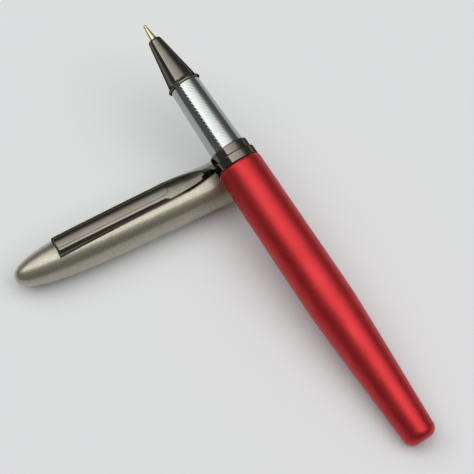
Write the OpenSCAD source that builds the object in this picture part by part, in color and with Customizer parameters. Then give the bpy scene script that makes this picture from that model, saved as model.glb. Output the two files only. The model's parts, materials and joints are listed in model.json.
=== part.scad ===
// Rollerball pen, uncapped, lying across its own cap.
// The pen leans from its tail on the table up over the cap, nose in the air.
// X runs along the pen's ground line towards the writing tip, Z is up,
// and the origin is on the table at the centre of the bounding box.
//
// Pen parts are turned shapes on the pen's own axis, measured from the tail (u).
// Cap parts are measured from the cap's mouth (w) towards the crown.

/* [Pen] */
// Length of the uncapped pen, tail to writing ball
pen_len = 124; // [122:0.5:126]
// Largest diameter of the barrel
belly_d = 12.1; // [11.9:0.1:12.6]
// Distance of the largest diameter from the tail
belly_u = 40; // [36:1:46]
// Diameter of the barrel at its mouth
mouth_d = 11.75; // [11.6:0.05:12]
// Fall of the barrel's radius per mm towards the tail
tail_taper = 0.054; // [0.05:0.001:0.056]
// Corner radius of the rounded tail
tail_round = 2.4; // [1.8:0.1:2.6]
// Distance from the writing ball back to the barrel's mouth
section_len = 43.4; // [43:0.1:44]

/* [Section] */
// Diameter of the front band of the collar
collar_d = 10.35; // [10:0.05:10.6]
// Diameter of the rear band, a separate trim ring
trim_d = 11.35; // [11.1:0.05:11.5]
// Grip diameter at the nose end
grip_front_d = 7.9; // [7.7:0.1:8.1]
// Grip diameter at the collar end
grip_rear_d = 9.1; // [8.8:0.1:9.3]
// Diameter of the skirt at the back of the nose cone
skirt_d = 8.85; // [8.7:0.05:9]
// Outer diameter of the screw thread
thread_d = 7.96; // [7.9:0.02:8]
// Length of the screw thread
thread_len = 9.6; // [8:0.2:10]

/* [Refill] */
// Overall length of the refill
refill_len = 110.6; // [110:0.1:111]
// Outer diameter of the refill's tube
refill_d = 6; // [5.9:0.05:6.05]
// Diameter of the writing ball
ball_d = 0.7; // [0.6:0.05:0.74]

/* [Cap] */
// Length of the cap
cap_len = 63.4; // [62.2:0.2:65]
// Outer diameter of the cap at its mouth
cap_d = 11.7; // [11.6:0.05:11.8]
// Bore of the cap at its mouth
cap_bore_d = 10.9; // [10.85:0.05:10.95]

/* [Clip] */
// Width of the clip
clip_w = 5.4; // [5:0.1:5.8]
// Width of the raised rib along the clip
rib_w = 3; // [2.6:0.1:3.2]
// Distance of the clip's point from the cap's mouth
clip_tip_w = 7.3; // [7:0.1:7.6]
// Distance of the clip's root end from the cap's mouth
clip_root_w = 51.6; // [51.2:0.1:52]

/* [Pose] */
// Lean of the pen above the table, in degrees
pen_tilt = 9.5; // [9.5:0.05:10]
// Turn of the cap's axis away from square to the pen, in degrees
cap_turn = 5.8; // [4:0.1:7]
// Roll of the cap, which leans the clip towards the nose, in degrees
cap_roll = 9; // [0:1:14]
// How far the cap's mouth reaches past the pen's centre plane
cap_past = 3.1; // [2:0.1:4]
// Where the cap crosses under the pen, from the writing ball
cross_v = 40.45; // [40:0.05:41]

/* [Hidden] */
$fn = 96;

// position of the whole group about the origin
shift_x = -60.99;
shift_y = -26.97;

L = pen_len;
um = L - section_len;            // barrel mouth
trim_u0 = um + 0.1;              // trim ring, rear face
trim_u1 = um + 2.35;             // trim ring, front face
collar_u1 = um + 4.9;            // front band, front face
grip_u1 = L - 18.85;             // grip, front end
nose_u1 = L - 4.65;              // nose cone, front face
ref_u0 = L - refill_len;         // refill, rear end
rr = refill_d / 2;
cr = thread_d / 2;
core_r = 3.48;

// the tail's fillet circle, which touches the table
tail_r = belly_d/2 - barrel_drop(tail_round);
ring_r = tail_r - tail_round;
tail_z = tail_round * (1 - sin(pen_tilt)) + ring_r * cos(pen_tilt);

function barrel_drop(u) = let(w = belly_u - u) tail_taper * w * w / (w + 4);
function barrel_r(u) = u < belly_u ? belly_d/2 - barrel_drop(u)
  : belly_d/2 - (belly_d - mouth_d)/4 * (1 - cos(180 * (u - belly_u) / (um - belly_u)));

rib_h = 0.2;                     // clip's rib, height above the leaf
rib_end = 20.6;                  // clip's rib, rounded end

// outside of the cap, w from its mouth
crown_w = 28;
function cap_r(w) = let(t = max(0, (w - crown_w) / (cap_len - crown_w)))
  (cap_d/2 - 0.005 * max(0, w - 20)) * pow(max(0, 1 - pow(t, 2.9)), 1/2.6);

// bore of the cap behind its cylindrical mouth, drafted outwards
mouth_depth = 3.4;
function cap_in(w) = cap_bore_d/2 + 0.0022 * (w - mouth_depth);

// ---- placing ----
module on_pen() translate([shift_x, shift_y, tail_z]) rotate([0, 90 - pen_tilt, 0]) children();
module on_cap() translate([shift_x + (L - cross_v) * cos(pen_tilt), shift_y, cap_d/2])
  rotate([0, 0, -cap_turn]) translate([0, -cap_past, 0]) rotate([-90, 0, 0]) rotate([0, 0, cap_roll]) children();

// turned ring between two positions along the axis
module ring(r1, r0, a, b) rotate_extrude() polygon([[r0, a], [r1, a], [r1, b], [r0, b]]);
module disc(r, a, b) translate([0, 0, a]) cylinder(r = r, h = b - a);

// ---- barrel group ----
module barrel() color([0.75, 0.12, 0.13]) on_pen() difference() {
  rotate_extrude() polygon(concat(
    [[0, 0]],
    [for (a = [0:10:90]) [ring_r + tail_round * sin(a), tail_round * (1 - cos(a))]],
    [for (u = [4:3:um - 2.2]) [barrel_r(u), u]],
    [[mouth_d/2, um - 0.9], [mouth_d/2 - 0.12, um - 0.35], [mouth_d/2 - 0.4, um], [0, um]]));
  rotate_extrude() polygon([[0, 3.5], [3.45, 3.5], [3.45, 8], [4.9, 38], [4.9, um - 11.6],
    [5, um - 11.6], [5, um + 1], [0, um + 1]]);
}
module thread_bush() color([0.8, 0.65, 0.35]) on_pen() rotate_extrude() polygon([
  [cr + 0.08, um - 11.5], [4.98, um - 11.5], [4.98, um - 0.1], [cr + 0.45, um - 0.1], [cr + 0.08, um - 0.5]]);
module spring_seat() color([0.2, 0.2, 0.2]) on_pen() union() {
  disc(3.42, 3.52, 4.9);
  disc(1.6, 4.8, 6.4);
}
// a coil spring, swept as one tube along its helix
sp_r = 2.2; sp_wire = 0.3; sp_turns = 6; sp_seg = 20; sp_u0 = 5.25; sp_u1 = ref_u0 - 0.35;
module refill_spring() color([0.7, 0.7, 0.72]) on_pen() {
  n = sp_turns * sp_seg; m = 8;
  pts = [for (i = [0:n]) let(t = i / n, a = 360 * sp_turns * t,
      z = sp_u0 + (sp_u1 - sp_u0) * t)
    for (j = [0:m-1]) let(b = 360 * j / m, q = sp_r + sp_wire * cos(b))
      [q * cos(a), q * sin(a), z + sp_wire * sin(b)]];
  polyhedron(points = pts, faces = concat(
    [[for (j = [0:m-1]) j]],
    [for (i = [0:n-1], j = [0:m-1]) [i*m + j, (i+1)*m + j, (i+1)*m + (j+1)%m]],
    [for (i = [0:n-1], j = [0:m-1]) [i*m + j, (i+1)*m + (j+1)%m, i*m + (j+1)%m]],
    [[for (j = [m-1:-1:0]) n*m + j]]), convexity = 8);
}

// ---- section group ----
module trim_ring() color([0.2, 0.18, 0.19]) on_pen() rotate_extrude() polygon([
  [4.62, trim_u0], [trim_d/2 - 0.12, trim_u0], [trim_d/2, trim_u0 + 0.15],
  [trim_d/2, trim_u1 - 0.2], [trim_d/2 - 0.2, trim_u1], [4.62, trim_u1]]);
module section_collar() color([0.25, 0.23, 0.24]) on_pen() rotate_extrude() polygon([
  [3.5, um + 0.15], [4.55, um + 0.15], [4.55, trim_u1 + 0.15], [collar_d/2 - 0.1, trim_u1 + 0.15],
  [collar_d/2, trim_u1 + 0.25], [collar_d/2, collar_u1 - 0.3], [collar_d/2 - 0.3, collar_u1],
  [3.5, collar_u1]]);
module section_core() color([0.82, 0.68, 0.4]) on_pen() difference() {
  union() {
    disc(cr, um - thread_len, um + 0.15);
    disc(core_r, um + 0.1, grip_u1);
    disc(3.1, grip_u1 - 0.1, grip_u1 + 3.3);
  }
  disc(rr + 0.12, um - thread_len - 1, L - 19.98);
  disc(2.5, L - 20, L);
}
module grip_sleeve() color([0.85, 0.87, 0.86]) on_pen() rotate_extrude() polygon([
  [3.5, collar_u1], [grip_rear_d/2, collar_u1], [grip_front_d/2, grip_u1], [3.5, grip_u1]]);
module nose_cone() color([0.2, 0.19, 0.2]) on_pen() rotate_extrude() polygon([
  // outside, from the skirt's rim to the front face
  [skirt_d/2 - 0.22, L - 19], [skirt_d/2, L - 18.78], [skirt_d/2, L - 18.48], [skirt_d/2 - 0.2, L - 18.25],
  [skirt_d/2 - 0.48, L - 17.95], [3.79, L - 17.55], [1.8, L - 5.2], [1.25, nose_u1],
  // inside: tip hole, neck bore, holder bore, threaded seat
  [1.13, nose_u1], [1.13, L - 7.4], [1.7, L - 7.4], [1.7, L - 12], [2.45, L - 12],
  [2.45, L - 15.3], [3.12, L - 15.3], [3.12, grip_u1 + 0.02], [grip_front_d/2 + 0.1, grip_u1 + 0.02]]);

// ---- refill group ----
module refill_tube() color([0.75, 0.75, 0.76]) on_pen() ring(rr, rr - 0.35, ref_u0 + 1.6, L - 21.5);
module refill_end_plug() color([0.15, 0.2, 0.45]) on_pen() difference() {
  union() {
    disc(rr, ref_u0, ref_u0 + 1.6);
    disc(rr - 0.37, ref_u0 + 1.5, ref_u0 + 4.6);
  }
  disc(0.4, ref_u0 - 1, ref_u0 + 6);
}
module ink_reservoir() color([0.3, 0.3, 0.65]) on_pen() difference() {
  disc(rr - 0.4, ref_u0 + 5, L - 32);
  disc(0.72, L - 36, L - 31);
}
module ink_feed_rod() color([0.9, 0.9, 0.9]) on_pen() disc(0.7, L - 36, L - 10.2);
module tip_holder() color([0.9, 0.9, 0.88]) on_pen() rotate_extrude() polygon([
  [0.75, L - 28], [rr - 0.38, L - 28], [rr - 0.38, L - 21.5], [rr, L - 21.5], [rr, L - 20.02],
  [2.3, L - 20.02], [2.3, L - 12.1], [1.55, L - 12.1], [1.55, L - 7.5], [1.06, L - 7.5],
  [1.06, L - 10], [0.75, L - 10]]);
ball_u = L - ball_d/2;
module writing_tip() color([0.85, 0.68, 0.32]) on_pen() difference() {
  rotate_extrude() polygon([[0, L - 10], [1.04, L - 10], [1.04, L - 4.9], [0.5, L - 1.1],
    [0.43, L - 0.97], [0.47, L - 0.8], [0.47, L - 0.6], [0.36, L - 0.16], [0, L - 0.16]]);
  disc(0.25, L - 11, L);
  translate([0, 0, ball_u]) sphere(r = ball_d/2 + 0.02, $fn = 48);
}
module writing_ball() color([0.7, 0.7, 0.72]) on_pen() translate([0, 0, ball_u]) sphere(r = ball_d/2, $fn = 48);

// ---- cap group ----
module cap_outer(grow = 0) polygon(concat([[0, -grow], [cap_d/2 - 0.25 + grow, -grow], [cap_d/2 + grow, 0.25]],
  [for (w = [4:4:crown_w]) [cap_r(w) + grow, w]],
  [for (k = [1:22]) let(w = crown_w + (cap_len - crown_w) * sin(90 * k / 22)) [cap_r(w) + grow, w + grow * sin(90 * k / 22)]]));
module cap_shell() color([0.8, 0.79, 0.73]) on_cap() difference() {
  rotate_extrude() cap_outer();
  rotate_extrude() polygon(concat([[0, -1], [cap_bore_d/2 + 0.2, -1], [cap_bore_d/2 + 0.2, 0.001], [cap_bore_d/2, 0.2], [cap_bore_d/2, mouth_depth],
      [cap_in(30), 30]],
    [for (w = [32:2.5:57]) [min(cap_in(30), cap_r(w) - 0.5), w]], [[1.2, 59.5], [0, 59.8]]));
  // slot for the clip's tab
  translate([-1.4, -6, 46.4]) cube([2.8, 3, 3.4]);
}
module inner_cap() color([0.12, 0.12, 0.12]) on_cap() rotate_extrude() polygon([
  [0, 44.4], [cap_bore_d/2 - 0.75, 44.4], [cap_bore_d/2 - 0.1, 36], [cap_in(30) - 0.03, 30], [cap_in(4.2) - 0.03, 4.2], [4.95, 4.2], [4.95, 20],
  [4.55, 20.6], [4.55, 26], [3.9, 27], [3.9, 36], [2.6, 38], [2.6, 42.8], [0, 42.8]]);
// brass plug inside the crown that the clip's tab hooks into
module clip_anchor() color([0.8, 0.66, 0.36]) on_cap() difference() {
  rotate_extrude() polygon([[1.6, 44.5], [cap_bore_d/2 - 0.8, 44.5], [cap_r(53) - 0.56, 53], [1.6, 53]]);
  translate([-1.25, -6, 46.5]) cube([2.5, 3.2, 3.2]);
}

// ---- clip ----
// side outline as (w, height above the cap's axis); the leaf lies rib_h below the rib
module clip_side(drop) polygon([
  [clip_root_w, 4.6], [clip_root_w, 7.1 - drop], [clip_root_w - 0.3, 7.4 - drop], [45, 7.75 - drop],
  [35, 8.15 - drop], [26, 8.45 - drop], [21, 8.5 - drop], [16, 8.1 - drop/3], [11, 7.55], [8.4, 7.1],
  [clip_tip_w, 6.5], [clip_tip_w, 6.1], [8, 5.98], [15.5, 5.98], [17.2, 6.9], [22, 7.15], [30, 6.75],
  [38, 6.1], [46, 5.45], [46.2, 4.6]]);
module leaf_plan(hw, tip) polygon(concat(
  [[-hw + 0.3, clip_root_w + 0.01], [-hw, clip_root_w - 0.4]],
  [for (s = [0:6]) let(t = s / 6, w = 24 - (24 - tip) * t) [-hw * pow(1 - pow(t, 2.2), 0.8), w]],
  [for (s = [6:-1:0]) let(t = s / 6, w = 24 - (24 - tip) * t) [hw * pow(1 - pow(t, 2.2), 0.8), w]],
  [[hw, clip_root_w - 0.4], [hw - 0.3, clip_root_w + 0.01]]));
module rib_plan(hw) polygon(concat([[hw, clip_root_w + 0.01], [-hw, clip_root_w + 0.01]],
  [for (a = [180:20:360]) [hw * cos(a), rib_end + hw + hw * sin(a)]]));
module clip_layer(drop) intersection() {
  rotate([0, -90, 0]) mirror([0, 1, 0]) translate([0, 0, -3]) linear_extrude(6) clip_side(drop);
  rotate([90, 0, 0]) linear_extrude(12) children();
}
module clip() color([0.22, 0.2, 0.21]) on_cap() union() {
  difference() {
    union() {
      clip_layer(rib_h) leaf_plan(clip_w/2, clip_tip_w - 0.05);
      clip_layer(0) rib_plan(rib_w/2);
    }
    rotate_extrude() cap_outer(0.1);
  }
  // tab through the cap's slot into the anchor
  translate([-1.1, -7, 46.8]) cube([2.2, 3.6, 2.6]);
}

cap_shell();
inner_cap();
clip_anchor();
clip();
barrel();
thread_bush();
spring_seat();
refill_spring();
trim_ring();
section_collar();
section_core();
grip_sleeve();
nose_cone();
refill_tube();
refill_end_plug();
ink_reservoir();
ink_feed_rod();
tip_holder();
writing_tip();
writing_ball();
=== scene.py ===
import json
import math

import bpy
import numpy as np
from mathutils import Matrix, Vector


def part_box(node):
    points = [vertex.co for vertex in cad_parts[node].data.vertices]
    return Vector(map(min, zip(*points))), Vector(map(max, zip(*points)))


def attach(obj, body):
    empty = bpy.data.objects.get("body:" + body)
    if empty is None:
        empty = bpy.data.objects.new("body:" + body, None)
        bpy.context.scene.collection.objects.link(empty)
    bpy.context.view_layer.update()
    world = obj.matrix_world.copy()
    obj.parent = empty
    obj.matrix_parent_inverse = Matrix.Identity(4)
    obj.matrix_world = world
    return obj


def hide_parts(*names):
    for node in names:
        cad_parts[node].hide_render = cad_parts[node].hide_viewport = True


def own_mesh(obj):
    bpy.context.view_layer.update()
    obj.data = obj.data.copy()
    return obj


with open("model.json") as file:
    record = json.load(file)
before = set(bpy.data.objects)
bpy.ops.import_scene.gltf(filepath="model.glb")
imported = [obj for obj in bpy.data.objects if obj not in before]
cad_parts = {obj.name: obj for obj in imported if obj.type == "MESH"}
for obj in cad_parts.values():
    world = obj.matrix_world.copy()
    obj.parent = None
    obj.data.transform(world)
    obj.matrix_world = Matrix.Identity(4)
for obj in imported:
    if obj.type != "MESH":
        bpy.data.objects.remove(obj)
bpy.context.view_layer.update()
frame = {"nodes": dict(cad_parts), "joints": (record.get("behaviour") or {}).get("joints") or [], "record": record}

MM = 0.001

# ---------------------------------------------------------------- design sizes, as in the CAD source (mm)
L = 124.0
UM = 80.6                 # barrel mouth, from the tail
TRIM0, TRIM1 = UM + 0.1, UM + 2.35
COL1 = UM + 4.9
GRIP1 = L - 18.85
CAPLEN = 63.4
CAPR = 5.85
BORE = 5.45
CROWN = 28.0
PITCH = 1.2

# ---------------------------------------------------------------- the two axes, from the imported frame
joints = {j["name"]: j for j in frame["joints"]}
mounts = {m["name"]: m for m in frame["record"]["mounts"]}
A = np.array(joints["section_turn"]["axis"], float)
A /= np.linalg.norm(A)
ball_lo, ball_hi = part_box("writing_ball")
ball = (np.array(ball_lo) + np.array(ball_hi)) / 2
PEN_O = ball - A * (L - 0.35) * MM                      # tail end of the pen's axis
PEN_X = np.array([A[2], 0.0, -A[0]])                    # local x, pointing down
PEN_Y = np.cross(A, PEN_X)
out = np.array(mounts["cap_mouth"]["axis"], float)
out /= np.linalg.norm(out)
CAP_Z = -out                                            # mouth to crown
CAP_O = np.array(mounts["cap_mouth"]["pos_m"], float) + out * 1.8 * MM
lat = np.array(joints["clip_flex"]["axis"], float)
lat /= np.linalg.norm(lat)
up = np.cross(lat, CAP_Z)
if up[2] < 0:
    up = -up
CLIP_UP = up / np.linalg.norm(up)                       # from the cap's axis towards the clip
CAP_X = np.cross(CLIP_UP, CAP_Z)


def pen_place(p):
    """Points (x, y, u) on the pen's own axes, in mm, to the row frame, in metres."""
    p = np.asarray(p, float) * MM
    return PEN_O + p[:, :1] * PEN_X + p[:, 1:2] * PEN_Y + p[:, 2:3] * A


def cap_place(p):
    """Points (x, h, w): across the clip, height above the cap's axis, distance from the mouth."""
    p = np.asarray(p, float) * MM
    return CAP_O + p[:, :1] * CAP_X + p[:, 1:2] * CLIP_UP + p[:, 2:3] * CAP_Z


# ---------------------------------------------------------------- mesh helpers
def fillet(pts, radii, n=5):
    """A polyline with its corners rounded. Short support steps keep the long faces flat in shading."""
    pts = [np.array(p, float) for p in pts]
    out_pts = [pts[0]]
    for i in range(1, len(pts) - 1):
        r = radii[i] if i < len(radii) else 0
        a, b = pts[i - 1] - pts[i], pts[i + 1] - pts[i]
        la, lb = np.linalg.norm(a), np.linalg.norm(b)
        a, b = a / la, b / lb
        dot = float(np.clip(a @ b, -1, 1))
        ang = math.acos(dot)
        if r <= 0 or ang > math.pi - 0.03:
            out_pts.append(pts[i])
            continue
        t = r / math.tan(ang / 2)
        lim = 0.45 * min(la, lb)
        if t > lim:
            t = lim
            r = t * math.tan(ang / 2)
        m = a + b
        m /= np.linalg.norm(m)
        c = pts[i] + m * (r / math.sin(ang / 2))
        p0, p1 = pts[i] + a * t, pts[i] + b * t
        sup = min(0.06, 0.25 * t + 0.01)
        if la - t > 2.5 * sup:
            out_pts.append(p0 + a * sup)
        v0, v1 = p0 - c, p1 - c
        total = math.acos(float(np.clip(v0 @ v1 / (r * r), -1, 1)))
        for k in range(n + 1):
            s = k / n
            out_pts.append(c + (v0 * math.sin((1 - s) * total) + v1 * math.sin(s * total)) / math.sin(total))
        if lb - t > 2.5 * sup:
            out_pts.append(p1 + b * sup)
    out_pts.append(pts[-1])
    return np.array(out_pts)


def smooth_curve(pts, n=6):
    """A Catmull-Rom curve through points."""
    p = np.array(pts, float)
    q = np.vstack([2 * p[0] - p[1], p, 2 * p[-1] - p[-2]])
    res = []
    for i in range(1, len(q) - 2):
        for k in range(n):
            t = k / n
            res.append(0.5 * ((2 * q[i]) + (q[i + 1] - q[i - 1]) * t
                              + (2 * q[i - 1] - 5 * q[i] + 4 * q[i + 1] - q[i + 2]) * t * t
                              + (3 * q[i] - q[i - 1] - 3 * q[i + 1] + q[i + 2]) * t ** 3))
    res.append(p[-1])
    return np.array(res)


def make(name, verts, faces, body, replaces=(), material=None, sharp=40.0):
    me = bpy.data.meshes.new(name)
    me.from_pydata([tuple(v) for v in verts], [], faces)
    me.validate()
    me.update()
    ob = bpy.data.objects.new(name, me)
    bpy.context.scene.collection.objects.link(ob)
    me.shade_smooth()
    if sharp:
        mark_sharp(me, sharp)
    if material:
        me.materials.append(material)
    if replaces:
        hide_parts(*replaces)
    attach(ob, body)
    return ob


def mark_sharp(me, degrees):
    """Marks the edges between faces that meet at more than this angle."""
    n = len(me.polygons)
    normals = np.zeros(n * 3)
    me.polygons.foreach_get("normal", normals)
    normals = normals.reshape(-1, 3)
    starts = np.zeros(n, int)
    me.polygons.foreach_get("loop_start", starts)
    totals = np.zeros(n, int)
    me.polygons.foreach_get("loop_total", totals)
    edges = np.zeros(len(me.loops), int)
    me.loops.foreach_get("edge_index", edges)
    face_of = np.repeat(np.arange(n), totals)
    order = np.argsort(edges, kind="stable")
    es, fs = edges[order], face_of[order]
    pair = es[1:] == es[:-1]
    idx, fa, fb = es[1:][pair], fs[1:][pair], fs[:-1][pair]
    angle = np.degrees(np.arccos(np.clip((normals[fa] * normals[fb]).sum(1), -1, 1)))
    flags = np.zeros(len(me.edges), bool)
    flags[idx[angle > degrees]] = True
    attr = me.attributes.get("sharp_edge") or me.attributes.new("sharp_edge", "BOOLEAN", "EDGE")
    attr.data.foreach_set("value", flags)


def lathe(name, profile, place, body, replaces=(), material=None, seg=144, radius=None, sharp=40.0, turn=0.0):
    """A turned solid. profile is (r, u) pairs; a first or last r of 0 closes on the axis, otherwise the profile is a closed loop.
    radius(r, u, theta) may shape the surface further."""
    prof = np.array(profile, float)
    keep = [0] + [i for i in range(1, len(prof)) if np.linalg.norm(prof[i] - prof[i - 1]) > 1e-4]
    prof = prof[keep]
    open_ends = prof[0][0] < 1e-6 and prof[-1][0] < 1e-6
    if not open_ends and np.linalg.norm(prof[0] - prof[-1]) < 1e-4:
        prof = prof[:-1]
    th = np.arange(seg) * 2 * math.pi / seg + turn
    verts, rows = [], []
    for r, u in prof:
        if r < 1e-6:
            rows.append([len(verts)])
            verts.append((0.0, 0.0, u))
            continue
        start = len(verts)
        rr = np.full(seg, r) if radius is None else radius(r, u, th)
        verts += [(rr[k] * math.cos(th[k]), rr[k] * math.sin(th[k]), u) for k in range(seg)]
        rows.append(list(range(start, start + seg)))
    faces = []
    pairs = list(zip(rows[:-1], rows[1:]))
    if not open_ends:
        pairs.append((rows[-1], rows[0]))
    for a, b in pairs:
        if len(a) == 1 and len(b) == 1:
            continue
        if len(a) == 1:
            faces += [(a[0], b[(k + 1) % seg], b[k]) for k in range(seg)]
        elif len(b) == 1:
            faces += [(a[k], a[(k + 1) % seg], b[0]) for k in range(seg)]
        else:
            faces += [(a[k], a[(k + 1) % seg], b[(k + 1) % seg], b[k]) for k in range(seg)]
    v = place(np.array(verts))
    ob = make(name, v, faces, body, replaces, material, sharp)
    fix_normals(ob)
    return ob


def fix_normals(ob):
    """Turns the faces outwards, by the signed volume."""
    me = ob.data
    co = np.zeros(len(me.vertices) * 3)
    me.vertices.foreach_get("co", co)
    co = co.reshape(-1, 3)
    co = co - co.mean(0)
    me.calc_loop_triangles()
    tri = np.zeros(len(me.loop_triangles) * 3, int)
    me.loop_triangles.foreach_get("vertices", tri)
    tri = tri.reshape(-1, 3)
    vol = float((co[tri[:, 0]] * np.cross(co[tri[:, 1]], co[tri[:, 2]])).sum())
    if vol < 0:
        me.flip_normals()


# ---------------------------------------------------------------- material helpers
def euler_to(x, y, z):
    """Rotation that takes row-frame vectors to the axes x, y, z."""
    return Matrix((tuple(x), tuple(y), tuple(z)))


class Mat:
    def __init__(self, name, axes="pen"):
        self.m = bpy.data.materials.new(name)
        self.m.use_nodes = True
        self.t = self.m.node_tree
        self.t.nodes.clear()
        self.out = self.node("ShaderNodeOutputMaterial")
        self.b = self.node("ShaderNodeBsdfPrincipled")
        self.link(self.b.outputs[0], self.out.inputs[0])
        tc = self.node("ShaderNodeTexCoord")
        mp = self.node("ShaderNodeMapping")
        r = euler_to(PEN_X, PEN_Y, A) if axes == "pen" else euler_to(CAP_X, CLIP_UP, CAP_Z)
        o = Vector(PEN_O if axes == "pen" else CAP_O)
        mp.inputs["Rotation"].default_value = r.to_euler("XYZ")
        mp.inputs["Location"].default_value = -(r @ o)
        self.link(tc.outputs["Object"], mp.inputs["Vector"])
        self.co = mp.outputs[0]           # metres, z along the axis of the piece

    def node(self, kind, **props):
        n = self.t.nodes.new(kind)
        for k, v in props.items():
            setattr(n, k, v)
        return n

    def link(self, a, b):
        self.t.links.new(a, b)

    def set(self, **values):
        for k, v in values.items():
            self.b.inputs[k.replace("_", " ")].default_value = v

    def scaled(self, sx, sy, sz):
        mp = self.node("ShaderNodeMapping")
        mp.inputs["Scale"].default_value = (sx, sy, sz)
        self.link(self.co, mp.inputs["Vector"])
        return mp.outputs[0]

    def noise(self, scale, detail=3.0, rough=0.5, vec=None, distortion=0.0):
        n = self.node("ShaderNodeTexNoise")
        n.inputs["Scale"].default_value = scale
        n.inputs["Detail"].default_value = detail
        n.inputs["Roughness"].default_value = rough
        n.inputs["Distortion"].default_value = distortion
        self.link(vec if vec is not None else self.co, n.inputs["Vector"])
        return n.outputs["Fac"]

    def voronoi(self, scale, vec=None, out="Distance", feature="F1"):
        n = self.node("ShaderNodeTexVoronoi")
        n.feature = feature
        n.inputs["Scale"].default_value = scale
        self.link(vec if vec is not None else self.co, n.inputs["Vector"])
        return n.outputs[out]

    def ramp(self, fac, stops):
        n = self.node("ShaderNodeValToRGB")
        el = n.color_ramp.elements
        while len(el) < len(stops):
            el.new(0.5)
        for e, (p, c) in zip(el, stops):
            e.position = p
            e.color = (*c, 1.0) if len(c) == 3 else c
        self.link(fac, n.inputs["Fac"])
        return n.outputs["Color"]

    def range(self, fac, lo, hi, a=0.3, b=0.7):
        n = self.node("ShaderNodeMapRange")
        n.inputs["From Min"].default_value = a
        n.inputs["From Max"].default_value = b
        n.inputs["To Min"].default_value = lo
        n.inputs["To Max"].default_value = hi
        self.link(fac, n.inputs["Value"])
        return n.outputs["Result"]

    def math(self, op, a, b):
        n = self.node("ShaderNodeMath", operation=op)
        for i, x in enumerate((a, b)):
            if isinstance(x, (int, float)):
                n.inputs[i].default_value = x
            else:
                self.link(x, n.inputs[i])
        return n.outputs[0]

    def mix(self, fac, a, b, blend="MIX"):
        n = self.node("ShaderNodeMix", data_type="RGBA", blend_type=blend)
        for sock, x in ((n.inputs[0], fac), (n.inputs[6], a), (n.inputs[7], b)):
            if isinstance(x, (int, float)):
                sock.default_value = x
            elif isinstance(x, tuple):
                sock.default_value = (*x, 1.0)
            else:
                self.link(x, sock)
        return n.outputs[2]

    def bump(self, height, strength, distance, normal=None):
        n = self.node("ShaderNodeBump")
        n.inputs["Strength"].default_value = strength
        n.inputs["Distance"].default_value = distance
        self.link(height, n.inputs["Height"])
        if normal is not None:
            self.link(normal, n.inputs["Normal"])
        return n.outputs[0]

    def color(self, sock):
        self.link(sock, self.b.inputs["Base Color"])

    def rough(self, sock):
        self.link(sock, self.b.inputs["Roughness"])

    def normal(self, sock):
        self.link(sock, self.b.inputs["Normal"])


def red_lacquer():
    m = Mat("red_lacquer")
    m.set(Metallic=0.86)
    flake = m.voronoi(9000.0, out="Color")
    sep = m.node("ShaderNodeSeparateColor")
    m.link(flake, sep.inputs[0])
    cloud = m.noise(160.0, 4.0, 0.55)
    base = m.ramp(cloud, [(0.30, (0.47, 0.026, 0.030)), (0.70, (0.53, 0.033, 0.037))])
    spark = m.ramp(sep.outputs[0], [(0.0, (0.86, 0.86, 0.86)), (0.5, (1, 1, 1)), (1.0, (1.08, 1.05, 1.05))])
    m.color(m.mix(1.0, base, spark, "MULTIPLY"))
    m.rough(m.range(m.noise(90.0, 3.0, 0.6), 0.39, 0.45))
    grain = m.noise(5200.0, 2.0, 0.6)
    m.normal(m.bump(grain, 0.12, 0.00002))
    return m.m


def champagne_lacquer():
    m = Mat("champagne_lacquer", "cap")
    m.set(Metallic=0.85, Coat_Weight=1.0, Coat_Roughness=0.06, Coat_IOR=1.5)
    cloud = m.noise(140.0, 4.0, 0.55)
    base = m.ramp(cloud, [(0.3, (0.345, 0.325, 0.245)), (0.7, (0.395, 0.375, 0.285))])
    flake = m.voronoi(6000.0, out="Color")
    sep = m.node("ShaderNodeSeparateColor")
    m.link(flake, sep.inputs[0])
    spark = m.ramp(sep.outputs[0], [(0.0, (0.82, 0.82, 0.82)), (0.6, (1, 1, 1)), (0.9, (1.05, 1.05, 1.03)), (1.0, (1.35, 1.34, 1.30))])
    m.color(m.mix(1.0, base, spark, "MULTIPLY"))
    m.rough(m.range(m.noise(80.0, 3.0, 0.6), 0.33, 0.39))
    m.normal(m.bump(m.noise(3300.0, 2.0, 0.6), 0.30, 0.00003))
    return m.m


def polished(name, dark, light, r0, r1, axes="pen", lines=True, line_strength=0.06, edge=1.0):
    """Plated or polished turned metal with faint turning marks and haze."""
    m = Mat(name, axes)
    m.set(Metallic=1.0, Specular_Tint=(edge, edge, edge, 1.0))
    cloud = m.noise(220.0, 4.0, 0.55)
    m.color(m.ramp(cloud, [(0.3, dark), (0.7, light)]))
    haze = m.noise(600.0, 5.0, 0.65)
    m.rough(m.range(haze, r0, r1))
    if lines:
        turned = m.noise(1.0, 3.0, 0.6, m.scaled(500.0, 500.0, 16000.0))
        m.normal(m.bump(turned, line_strength, 0.00001))
    else:
        m.normal(m.bump(m.noise(2600.0, 3.0, 0.6), line_strength, 0.00001))
    return m.m


def plastic(name, dark, light, r0, r1, axes="pen", bump=0.15):
    m = Mat(name, axes)
    m.color(m.ramp(m.noise(240.0, 4.0, 0.6), [(0.3, dark), (0.7, light)]))
    m.rough(m.range(m.noise(900.0, 3.0, 0.6), r0, r1))
    m.normal(m.bump(m.noise(3800.0, 3.0, 0.7), bump, 0.00003))
    return m.m


def fibre(name, dark, light):
    m = Mat(name)
    m.set(Roughness=0.9)
    strands = m.noise(1.0, 4.0, 0.7, m.scaled(9000.0, 9000.0, 400.0))
    m.color(m.ramp(strands, [(0.3, dark), (0.7, light)]))
    m.rough(m.range(strands, 0.8, 0.95))
    m.normal(m.bump(strands, 0.5, 0.00005))
    return m.m


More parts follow.
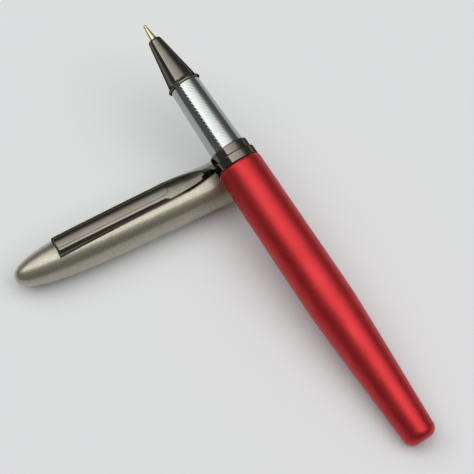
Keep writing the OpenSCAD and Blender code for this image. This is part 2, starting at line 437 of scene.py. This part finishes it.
M = {
    "red_lacquer": red_lacquer(),
    "champagne_lacquer": champagne_lacquer(),
    "gunmetal": polished("gunmetal", (0.138, 0.129, 0.104), (0.165, 0.154, 0.126), 0.06, 0.11, edge=0.15),
    "gunmetal_clip": polished("gunmetal_clip", (0.138, 0.129, 0.104), (0.165, 0.154, 0.126), 0.05, 0.10, "cap", lines=False, edge=0.15),
    "chrome": polished("engraved_chrome", (0.36, 0.385, 0.372), (0.42, 0.445, 0.43), 0.04, 0.08),
    "brass": polished("turned_brass", (0.62, 0.46, 0.20), (0.74, 0.56, 0.27), 0.2, 0.32, line_strength=0.3),
    "brass_cap": polished("turned_brass_cap", (0.62, 0.46, 0.20), (0.74, 0.56, 0.27), 0.2, 0.32, "cap", line_strength=0.3),
    "tip_brass": polished("tip_brass", (0.56, 0.49, 0.29), (0.64, 0.57, 0.36), 0.10, 0.17, line_strength=0.15),
    "steel": polished("drawn_steel", (0.56, 0.56, 0.57), (0.66, 0.66, 0.67), 0.2, 0.34, line_strength=0.2),
    "ball_steel": polished("ball_steel", (0.60, 0.60, 0.61), (0.72, 0.72, 0.73), 0.08, 0.16, lines=False),
    "black_plastic": plastic("black_plastic", (0.014, 0.014, 0.015), (0.024, 0.024, 0.026), 0.4, 0.55),
    "black_plastic_cap": plastic("black_plastic_cap", (0.014, 0.014, 0.015), (0.024, 0.024, 0.026), 0.4, 0.55, "cap"),
    "white_plastic": plastic("white_plastic", (0.74, 0.74, 0.70), (0.80, 0.80, 0.77), 0.28, 0.4),
    "blue_plastic": plastic("blue_plastic", (0.03, 0.055, 0.24), (0.045, 0.075, 0.30), 0.28, 0.4),
    "ink_fibre": fibre("ink_fibre", (0.02, 0.025, 0.14), (0.05, 0.06, 0.26)),
    "feed_fibre": fibre("feed_fibre", (0.45, 0.45, 0.50), (0.72, 0.72, 0.76)),
}

# ---------------------------------------------------------------- pen: barrel
BEL = 6.05


def barrel_drop(u):
    w = 40.0 - u
    return 0.054 * w * w / (w + 4.0)


def barrel_r(u):
    if u < 40.0:
        return BEL - barrel_drop(u)
    return BEL - 0.0875 * (1 - math.cos(math.pi * (u - 40.0) / (UM - 40.0)))


ring = BEL - barrel_drop(2.4) - 2.4
outer = [(0.0, 0.0), (ring * 0.5, 0.0), (ring - 0.05, 0.0)]
outer += [(ring + 2.4 * math.sin(math.radians(a)), 2.4 * (1 - math.cos(math.radians(a)))) for a in range(0, 91, 5)]
outer += [(barrel_r(u), u) for u in np.arange(3.0, UM - 1.2, 1.2)]
mouth = fillet([(barrel_r(UM - 1.25), UM - 1.25), (5.875, UM - 0.9), (5.755, UM - 0.35), (5.475, UM), (5.06, UM), (5.0, UM - 0.06),
                (5.0, UM - 11.6), (4.9, UM - 11.6), (4.9, 38.0), (3.45, 8.0), (3.45, 3.5), (0.0, 3.5)],
               [0, 0.5, 0.5, 0.12, 0.03, 0.03, 0.02, 0.02, 2.0, 2.0, 0.1, 0], 4)
lathe("barrel_tube", outer + [tuple(p) for p in mouth], pen_place, "barrel", ("barrel",), M["red_lacquer"], 192)


# ---------------------------------------------------------------- screw thread, male and female on the same helix
def thread(lo, hi, u0, u1, phase):
    def shape(r, u, th):
        x = ((u - PITCH * th / (2 * math.pi)) / PITCH + phase) % 1.0
        tri = 1 - np.abs(2 * x - 1)                       # 0 at the root, 1 at the crest
        k = np.clip((tri - 0.22) / 0.56, 0, 1)
        fade = min(1.0, max(0.0, (u - u0) / PITCH), ) * min(1.0, max(0.0, (u1 - u) / PITCH))
        k = k * k * (3 - 2 * k)
        return lo + (hi - lo) * k * fade
    return shape


def core_radius(r, u, th):
    if r > 3.4 and UM - 9.55 < u < UM - 0.6:
        return thread(3.62, 3.96, UM - 9.6, UM - 0.55, 0.0)(r, u, th)
    return np.full(len(th), r)


core = [(3.12, UM - 9.6), (3.45, UM - 9.6), (3.6, UM - 9.5)]
core += [(3.6, u) for u in np.arange(UM - 9.5, UM - 0.55, 0.06)]
core += [(3.6, UM - 0.5), (3.9, UM - 0.45), (3.9, UM + 0.12), (3.48, UM + 0.15), (3.48, UM + 6), (3.48, GRIP1 - 0.02), (3.1, GRIP1),
         (3.1, GRIP1 + 3.25), (3.05, GRIP1 + 3.3), (2.55, GRIP1 + 3.3), (2.5, GRIP1 + 3.25), (2.5, L - 20.0), (3.12, L - 20.0)]
lathe("section_core_threaded", core, pen_place, "section", ("section_core",), M["brass"], 96, core_radius)


def bush_radius(r, u, th):
    if r < 4.3 and UM - 11.4 < u < UM - 0.6:
        return thread(4.06, 3.74, UM - 11.45, UM - 0.55, 0.5)(r, u, th)
    return np.full(len(th), r)


bush = [(4.06, UM - 11.5), (4.98, UM - 11.5), (4.98, UM - 0.15), (4.93, UM - 0.1), (4.46, UM - 0.1), (4.43, UM - 0.12), (4.06, UM - 0.5)]
bush += [(4.06, u) for u in np.arange(UM - 0.56, UM - 11.46, -0.06)]
lathe("thread_bush_tapped", bush, pen_place, "barrel", ("thread_bush",), M["brass"], 96, bush_radius)

# ---------------------------------------------------------------- trim ring and collar
lathe("trim_ring_turned", fillet([(5.0, TRIM1), (4.62, TRIM1), (4.62, TRIM0), (5.675, TRIM0), (5.675, TRIM1), (5.0, TRIM1)],
                                 [0, 0.06, 0.06, 0.14, 0.2, 0], 6),
      pen_place, "collar_ring", ("trim_ring",), M["gunmetal"], 192)
lathe("collar_front_band", fillet([(4.2, COL1), (3.5, COL1), (3.5, UM + 0.15), (4.55, UM + 0.15), (4.55, TRIM1 + 0.15), (5.175, TRIM1 + 0.15),
                                   (5.175, COL1), (4.2, COL1)], [0, 0.05, 0.05, 0.1, 0.05, 0.12, 0.3, 0], 7),
      pen_place, "section", ("section_collar",), M["gunmetal"], 192)

# ---------------------------------------------------------------- grip with its engraved diamonds
N_AROUND, STEPS = 22, 14
N_ALONG = 18
seg_g = N_AROUND * STEPS
rows_u = np.linspace(COL1 + 0.35, GRIP1 - 0.25, N_ALONG * STEPS + 1)


def grip_r(u):
    return 4.55 + (3.95 - 4.55) * (u - COL1) / (GRIP1 - COL1)


DEPTH = 0.017


def grip_radius(r, u, th):
    if r < 3.6 or not (rows_u[0] - 1e-6 <= u <= rows_u[-1] + 1e-6):
        return np.full(len(th), r)
    j = (u - rows_u[0]) / (rows_u[1] - rows_u[0])
    i = np.arange(seg_g)
    a = np.abs(((i + j) / STEPS + 0.5) % 1.0 - 0.5) * STEPS
    b = np.abs(((i - j) / STEPS + 0.5) % 1.0 - 0.5) * STEPS
    d = np.minimum(a, b)
    groove = np.clip(1 - d / 1.3, 0, 1)
    edge = min(1.0, (u - rows_u[0]) / 0.3, (rows_u[-1] - u) / 0.3)
    return r - DEPTH * groove * max(edge, 0.0)


grip = [(3.5, COL1), (grip_r(COL1) - 0.05, COL1), (grip_r(COL1 + 0.05), COL1 + 0.05), (grip_r(COL1 + 0.3), COL1 + 0.3)]
grip += [(grip_r(u), u) for u in rows_u]
grip += [(grip_r(GRIP1 - 0.2), GRIP1 - 0.2), (grip_r(GRIP1 - 0.04), GRIP1 - 0.04), (grip_r(GRIP1) - 0.04, GRIP1), (3.5, GRIP1)]
lathe("grip_sleeve_engraved", grip, pen_place, "section", ("grip_sleeve",), M["chrome"], seg_g, grip_radius)

# ---------------------------------------------------------------- nose cone
CONE = (3.62 - 1.8) / 11.3                          # growth of the cone's radius per mm


def cone_r(u):
    return 1.8 + CONE * (L - 5.2 - u)


nose = fillet([(3.12, GRIP1 + 0.02), (4.05, GRIP1 + 0.02), (4.205, L - 18.98), (4.425, L - 18.80), (4.425, L - 18.48), (4.225, L - 18.25),
               (3.945, L - 17.95), (cone_r(L - 17.55), L - 17.55), (cone_r(L - 14.0), L - 14.0)],
              [0, 0.02, 0.06, 0.12, 0.12, 0.3, 0.35, 0.30, 0], 6)
nose = [tuple(p) for p in nose]
nose += [(cone_r(u), u) for u in np.arange(L - 13.0, L - 6.4, 1.0)]
nose += [tuple(p) for p in fillet([(cone_r(L - 6.3), L - 6.3), (1.8, L - 5.2), (1.62, L - 4.72), (1.50, L - 4.65), (1.13, L - 4.65), (1.13, L - 7.4)],
                                  [0, 0.3, 0.2, 0.08, 0.03, 0], 6)]
nose += [(1.7, L - 7.4), (1.7, L - 12.0), (2.45, L - 12.0), (2.45, L - 15.3), (3.12, L - 15.3)]
lathe("nose_cone_turned", nose, pen_place, "section", ("nose_cone",), M["gunmetal"], 192)

# ---------------------------------------------------------------- writing tip
tip = [(0.0, L - 10.0), (1.04, L - 10.0)] + [tuple(p) for p in fillet(
    [(1.04, L - 9.0), (1.04, L - 4.9), (0.5, L - 1.1), (0.43, L - 0.97), (0.47, L - 0.8), (0.47, L - 0.6), (0.36, L - 0.16),
     (0.30, L - 0.18), (0.26, L - 0.5), (0.0, L - 0.75)],
    [0, 0.5, 0.15, 0.06, 0.06, 0.1, 0.02, 0.02, 0.02, 0], 5)]
lathe("writing_tip_turned", tip, pen_place, "refill", ("writing_tip",), M["tip_brass"], 96)


# ---------------------------------------------------------------- cap shell and inner cap
def cap_r(w):
    t = max(0.0, (w - CROWN) / (CAPLEN - CROWN))
    return (CAPR - 0.005 * max(0.0, w - 20)) * max(0.0, 1 - t ** 2.9) ** (1 / 2.6)


shell = [tuple(p) for p in fillet([(BORE + 0.05, 3.4), (BORE, 3.4), (BORE, 0.2), (BORE + 0.17, 0.0), (CAPR - 0.25, 0.0), (CAPR, 0.28), (CAPR, 2.0)],
                                  [0, 0, 0.2, 0.05, 0.12, 0.25, 0], 5)]
shell += [(cap_r(w), w) for w in np.arange(3.0, CROWN, 1.5)]
shell += [(cap_r(w), w) for w in CROWN + (CAPLEN - CROWN) * np.sin(np.radians(np.linspace(2, 88.5, 56)))]
shell += [(0.0, CAPLEN)]
inner = [(0.0, 59.8), (1.2, 59.5)] + [(min(BORE + 0.0585, cap_r(w) - 0.5), w) for w in np.arange(57.0, 30.5, -2.5)]
inner += [(BORE + 0.0585, 30.0), (BORE + 0.05, 3.45)]
shell_profile = inner + shell
lathe("cap_shell_drawn", shell_profile, cap_place, "cap", ("cap_shell",), M["champagne_lacquer"], 192)
inner_cap = fillet([(0.0, 44.4), (4.7, 44.4), (5.35, 36.0), (5.478, 30.0), (5.42, 4.2), (4.95, 4.2), (4.95, 20.0), (4.55, 20.6), (4.55, 26.0), (3.9, 27.0),
                    (3.9, 36.0), (2.6, 38.0), (2.6, 42.8), (0.0, 42.8)], [0, 0.3, 0.3, 0, 0.1, 0.12, 0.3, 0.3, 0.4, 0.4, 0.5, 0.5, 0.2, 0], 4)
lathe("inner_cap_moulded", inner_cap, cap_place, "cap", ("inner_cap",), M["black_plastic_cap"], 144)


# ---------------------------------------------------------------- clip
def interp(x, table):
    t = sorted(table)
    return float(np.interp(x, [a for a, _ in t], [b for _, b in t]))


TOP = [(51.6, 7.10), (51.3, 7.40), (45, 7.75), (35, 8.15), (26, 8.45), (21, 8.5), (16, 8.1), (11, 7.55), (8.4, 7.1), (7.3, 6.5)]


def half_width(w):
    if w >= 24:
        return 2.7
    t = (24 - w) / (24 - 7.25)
    return 2.7 * max(0.0, 1 - t ** 2.2) ** 0.8


def clip_section(w):
    """Half outline of the clip at w, from the top's centre to the underside's centre, as (x, height)."""
    rib_top = interp(w, TOP)
    leaf = rib_top - interp(w, [(20.6, 0.2), (19.8, 0.17), (16, 0.06), (12, 0.0), (7, 0.0)])
    bend = 2 * interp(w, [(24, 3.0), (18, 4.5), (12, 6.0)])
    hw = half_width(w)
    hw = min(hw, 2.7)
    if w >= 22.1:
        rw = 1.5
    elif w > 20.6:
        rw = math.sqrt(max(0.0, 1.5 ** 2 - (22.1 - w) ** 2))
    else:
        rw = 0.0
    top = rib_top if w > 20.6 else leaf
    # flat facet on the leaf, narrowing to the arrow point
    facet = hw - 0.28 if w >= 24 else max(0.0, (hw - 0.28) * min(1.0, max(0.0, (w - 9.6) / (24 - 9.6)) ** 0.75))
    rw = min(rw, facet * 0.92)
    if w > 46.1:
        under = None
    else:
        under = interp(w, [(46.2, 5.42), (38, 6.1), (30, 6.75), (22, 7.15), (17.2, 6.9), (15.5, 5.98), (8, 5.98), (7.3, 6.1)])
    edge = leaf - hw * hw / bend - 0.10 - 0.6 * facet_drop(w)
    ribbed = rw > 0
    span = rw if ribbed else 0.05 + (0.55 * facet - 0.05) * min(1.0, (20.6 - w) / 1.5)
    xs = [0.0, 0.25 * span, 0.5 * span, 0.72 * span, 0.88 * span, span]
    pts = [(x, top - x * x / bend) for x in xs]
    pts[-1] = (xs[-1], pts[-1][1] - (0.03 if ribbed else 0.0))
    for x in (span + 0.03, facet * 0.5 + span * 0.5, facet):
        pts.append((x, leaf - x * x / bend))
    pts += [(hw - 0.07, edge + 0.05), (hw, edge)]
    if under is None:
        q = [(hw, 0.5 * (edge + 5.0)), (hw, None), (hw * 0.66, None), (hw * 0.33, None), (0.0, None)]
        cr = cap_r(w) + 0.1
        q = [(x, y if y is not None else math.sqrt(max(cr * cr - x * x, 0.01))) for x, y in q]
        q[0] = (hw, 0.5 * (edge + q[1][1]))
    else:
        under = min(under, edge - 0.25)
        hug = min(1.0, max(0.0, (w - 24.0) / 22.0))
        hug = hug * hug * (3 - 2 * hug)
        cr = cap_r(w) + 0.1

        def low(x):
            return under + (min(under, math.sqrt(cr * cr - x * x)) - under) * hug
        q = [(hw, 0.5 * (edge + low(hw))), (hw - 0.02, low(hw) + 0.06), (hw - 0.08, low(hw - 0.08)), (hw * 0.5, low(hw * 0.5)), (0.0, low(0.0))]
    return pts + q


def facet_drop(w):
    return interp(w, [(24, 0.0), (18, 0.10), (14, 0.22), (10, 0.38), (8, 0.3), (7.3, 0.1)])


stations = [51.6, 51.5, 51.3, 51.0, 50.2, 49, 47.5, 46.4, 46.15, 46.05, 45.6, 44, 42, 40, 38, 36, 34, 32, 30, 28, 26, 25, 24, 23.2, 22.6, 22.1]
stations += [22.1 - 1.5 * math.sin(math.radians(a)) for a in (15, 30, 45, 58, 68, 77, 84, 88)]
stations += [20.59, 20.4, 20.0, 19.5, 19, 18.4, 17.8, 17.2, 16.8, 16.3, 15.8, 15.5, 15, 14.4, 13.8, 13, 12.2, 11.4, 10.8, 10.2, 9.6, 9.2, 8.8, 8.4, 8.0, 7.75, 7.55, 7.42, 7.33]
loops = []
verts = []
for w in stations:
    half = clip_section(w)
    if w > 51.55:
        half = [(max(0.0, x - 0.1) if x > 2.0 else x, y - (0.1 if i < 11 else 0.0)) for i, (x, y) in enumerate(half)]
    full = half + [(-x, y) for x, y in half[-2:0:-1]]
    loops.append(list(range(len(verts), len(verts) + len(full))))
    verts += [(x, y, w) for x, y in full]
faces = []
n = len(loops[0])
for a, b in zip(loops[:-1], loops[1:]):
    faces += [(a[k], a[(k + 1) % n], b[(k + 1) % n], b[k]) for k in range(n)]
# slightly dished end face with a raised rim
end = np.array([verts[k] for k in loops[0]])
cen = np.array([0.0, (end[:, 1].max() + end[:, 1].min()) / 2, 51.6])
prev = loops[0]
for s, dw in ((0.90, 0.0), (0.84, -0.10), (0.5, -0.2), (0.2, -0.22)):
    ringv = cen + (end - cen) * s
    ringv[:, 2] = 51.6 + dw
    idx = list(range(len(verts), len(verts) + n))
    verts += [tuple(v) for v in ringv]
    faces += [(prev[(k + 1) % n], prev[k], idx[k], idx[(k + 1) % n]) for k in range(n)]
    prev = idx
verts.append((0.0, cen[1], 51.6 - 0.22))
faces += [(prev[(k + 1) % n], prev[k], len(verts) - 1) for k in range(n)]
# rounded point
lastw = loops[-1]
tipc = np.mean([verts[k] for k in lastw], axis=0)
verts.append((0.0, tipc[1], 7.26))
faces += [(lastw[k], lastw[(k + 1) % n], len(verts) - 1) for k in range(n)]
# tab through the shell
b0 = len(verts)
tx, h0, h1, w0, w1 = 1.1, 3.4, 5.6, 46.8, 49.4
verts += [(sx * tx, h, w) for h in (h0, h1) for w in (w0, w1) for sx in (-1, 1)]
faces += [(b0, b0 + 1, b0 + 3, b0 + 2), (b0 + 4, b0 + 6, b0 + 7, b0 + 5), (b0, b0 + 4, b0 + 5, b0 + 1), (b0 + 2, b0 + 3, b0 + 7, b0 + 6),
          (b0, b0 + 2, b0 + 6, b0 + 4), (b0 + 1, b0 + 5, b0 + 7, b0 + 3)]
clip_ob = make("clip_spring_leaf", cap_place(np.array(verts)), faces, "clip_arm", ("clip",), M["gunmetal_clip"], 38.0)
fix_normals(clip_ob)

# ---------------------------------------------------------------- spring, a fixed coil that rides with the barrel
SP_R, SP_WIRE, SP_U0, SP_U1 = 2.2, 0.3, 5.25, L - 110.6 - 0.35
sp_verts, sp_faces, ring_n, steps = [], [], 14, 400
turns = 7.0
for i in range(steps + 1):
    t = i / steps
    a = 2 * math.pi * turns * t
    free = (t * turns - 0.5 if turns * t > 1 else 0.5 * (t * turns) ** 2)      # the end coils lie closer together
    if (1 - t) * turns < 1:
        free = (turns - 1.0) - 0.5 * ((1 - t) * turns) ** 2
    z = SP_U0 + (SP_U1 - SP_U0) * (0.06 * t + 0.94 * free / (turns - 1.0))
    for j in range(ring_n):
        b = 2 * math.pi * j / ring_n
        q = SP_R + SP_WIRE * math.cos(b)
        sp_verts.append((q * math.cos(a), q * math.sin(a), z + SP_WIRE * math.sin(b)))
for i in range(steps):
    for j in range(ring_n):
        k = (j + 1) % ring_n
        sp_faces.append((i * ring_n + j, i * ring_n + k, (i + 1) * ring_n + k, (i + 1) * ring_n + j))
sp_faces.append(tuple(range(ring_n - 1, -1, -1)))
sp_faces.append(tuple(steps * ring_n + j for j in range(ring_n)))
spring = make("refill_spring_coil", pen_place(np.array(sp_verts)), sp_faces, "barrel", ("refill_spring",), M["steel"], 40.0)
fix_normals(spring)
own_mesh(spring)

# ---------------------------------------------------------------- CAD nodes that stay
for node, key in {"clip_anchor": "brass_cap", "spring_seat": "black_plastic", "refill_tube": "steel",
                  "refill_end_plug": "blue_plastic", "ink_reservoir": "ink_fibre", "ink_feed_rod": "feed_fibre", "tip_holder": "white_plastic",
                  "writing_ball": "ball_steel"}.items():
    ob = frame["nodes"][node]
    ob.data.materials.clear()
    ob.data.materials.append(M[key])

# ---------------------------------------------------------------- stage
floor_me = bpy.data.meshes.new("stage_floor")
S = 3.0
floor_me.from_pydata([(-S, -S, 0), (S, -S, 0), (S, S, 0), (-S, S, 0)], [], [(0, 1, 2, 3)])
floor = bpy.data.objects.new("stage_floor", floor_me)
bpy.context.scene.collection.objects.link(floor)
fm = bpy.data.materials.new("stage_floor")
fm.use_nodes = True
fb = fm.node_tree.nodes["Principled BSDF"]
fb.inputs["Base Color"].default_value = (0.80, 0.81, 0.815, 1)
fb.inputs["Roughness"].default_value = 0.85
fb.inputs["Specular IOR Level"].default_value = 0.2
floor_me.materials.append(fm)

# ---------------------------------------------------------------- light
scene = bpy.context.scene
scene.view_settings.view_transform = "Standard"
scene.view_settings.look = "None"
world = bpy.data.worlds.new("studio")
scene.world = world
world.use_nodes = True
wt = world.node_tree
bg = wt.nodes["Background"]
bg.inputs["Strength"].default_value = 0.15
bg.inputs["Color"].default_value = (1.0, 1.0, 1.0, 1.0)


def panel(name, turn, centre, length, width, radiance, stops, height=1.0):
    """A soft panel that faces straight down, turned about the vertical, with its strength graded across its width."""
    d = bpy.data.lights.new(name, "AREA")
    d.shape = "RECTANGLE"
    d.size, d.size_y = length, width
    d.energy = radiance * math.pi * length * width
    d.use_nodes = True
    t = d.node_tree
    em = t.nodes["Emission"]
    geo = t.nodes.new("ShaderNodeNewGeometry")
    sep = t.nodes.new("ShaderNodeSeparateXYZ")
    ramp = t.nodes.new("ShaderNodeValToRGB")
    el = ramp.color_ramp.elements
    while len(el) < len(stops):
        el.new(0.5)
    for e, (p, v) in zip(el, stops):
        e.position = p
        e.color = (v, v, v, 1.0)
    t.links.new(geo.outputs["Parametric"], sep.inputs[0])
    t.links.new(sep.outputs["Y"], ramp.inputs["Fac"])
    t.links.new(ramp.outputs["Color"], em.inputs["Strength"])
    o = bpy.data.objects.new(name, d)
    scene.collection.objects.link(o)
    o.location = (centre[0], centre[1], height)
    o.rotation_euler = (0, 0, math.radians(turn))
    return o


TURN = math.radians(41.0)
ACROSS = (-math.sin(TURN), math.cos(TURN))
WIDTH = 1.7
EDGE = 0.45                                        # the sharp edge, from the strip's middle line
mid = EDGE - WIDTH / 2
panel("key", 41.0, (0.065 + ACROSS[0] * mid, -0.063 + ACROSS[1] * mid), 2.8, WIDTH, 2.53,
      [(0.0, 0.0), (0.30, 0.10), (0.46, 0.42), (0.72, 0.72), (1.0, 1.0)])

# ---------------------------------------------------------------- camera, at the measured angle
E, BETA, F_PX, DIST = math.radians(66.22), math.radians(33.66), 1680.8, 0.416
Fv = Vector((math.cos(BETA) * math.cos(E), -math.sin(BETA) * math.cos(E), -math.sin(E)))
Rv = Vector((-math.sin(BETA), -math.cos(BETA), 0.0))
Uv = Rv.cross(Fv)
target = Vector((PEN_O[0] + 0.067045, PEN_O[1] + 0.008787, 0.008))
cam_data = bpy.data.cameras.new("camera")
cam = bpy.data.objects.new("camera", cam_data)
scene.collection.objects.link(cam)
cam_data.sensor_width = 36.0
cam_data.sensor_fit = "HORIZONTAL"
cam_data.lens = F_PX / 474.0 * 36.0
cam_data.clip_start, cam_data.clip_end = 0.01, 20.0
C = target - Fv * DIST
mw = Matrix(((Rv.x, Uv.x, -Fv.x, C.x), (Rv.y, Uv.y, -Fv.y, C.y), (Rv.z, Uv.z, -Fv.z, C.z), (0, 0, 0, 1)))
cam.matrix_world = mw
scene.camera = cam
